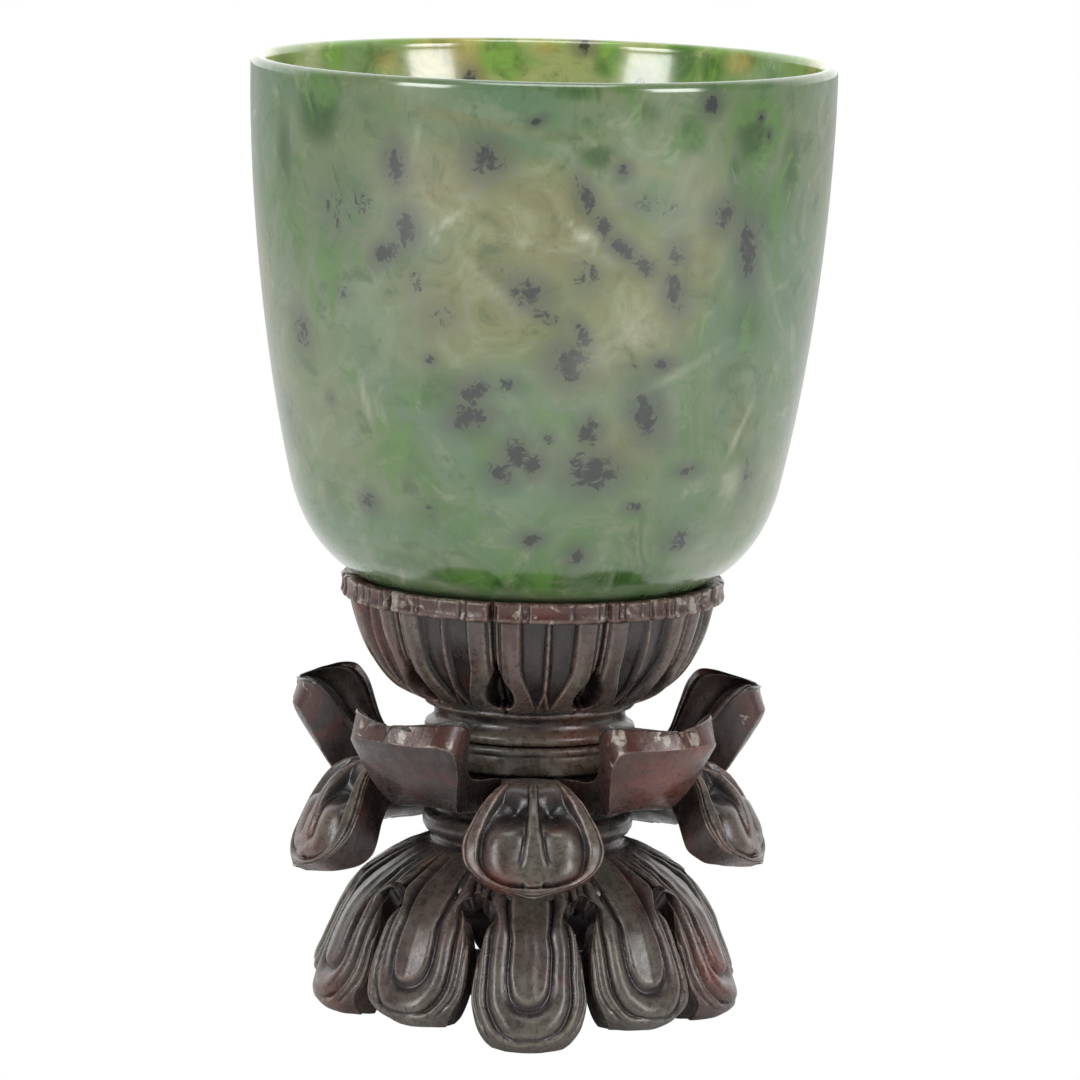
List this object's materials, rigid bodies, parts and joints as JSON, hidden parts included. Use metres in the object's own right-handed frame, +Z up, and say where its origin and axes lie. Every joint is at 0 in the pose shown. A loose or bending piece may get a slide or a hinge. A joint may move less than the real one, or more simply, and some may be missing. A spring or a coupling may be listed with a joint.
{
  "type": "jade cup on carved lotus stand",
  "caption": "Deep round-bottomed stone cup with a thin lip, resting in a carved wooden stand of stacked lotus petals with a flared petal foot.",
  "frame": {"origin": "middle of the resting circle under the foot petals, on the surface that the stand rests on", "axes": "+Z up along the cup's axis; -Y is the front, with one downturned petal facing it; +X is the viewer's right"},
  "size_m": [0.065, 0.065, 0.1072],
  "materials": {
    "jade": "polished translucent green nephrite with dark specks",
    "dark_wood": "dark brown carved hardwood, waxed and worn on the edges",
    "dowel_wood": "plain turned hardwood"
  },
  "bodies": {
    "stand": {"upper_lotus_dish": "dark_wood", "petal_hub": "dark_wood", "centre_dowel": "dowel_wood", "lotus_base": "dark_wood", "downturned_petal_1": "dark_wood", "downturned_petal_2": "dark_wood", "downturned_petal_3": "dark_wood", "downturned_petal_4": "dark_wood", "downturned_petal_5": "dark_wood", "upturned_petal_1": "dark_wood", "upturned_petal_2": "dark_wood", "upturned_petal_3": "dark_wood", "upturned_petal_4": "dark_wood", "upturned_petal_5": "dark_wood"},
    "cup": {"jade_cup": "jade"}
  },
  "joints": [
    {"name": "cup_lift", "type": "slide", "parent": "stand", "child": "cup", "axis": [0, 0, 1], "range_m": [0, 0.03]}
  ]
}
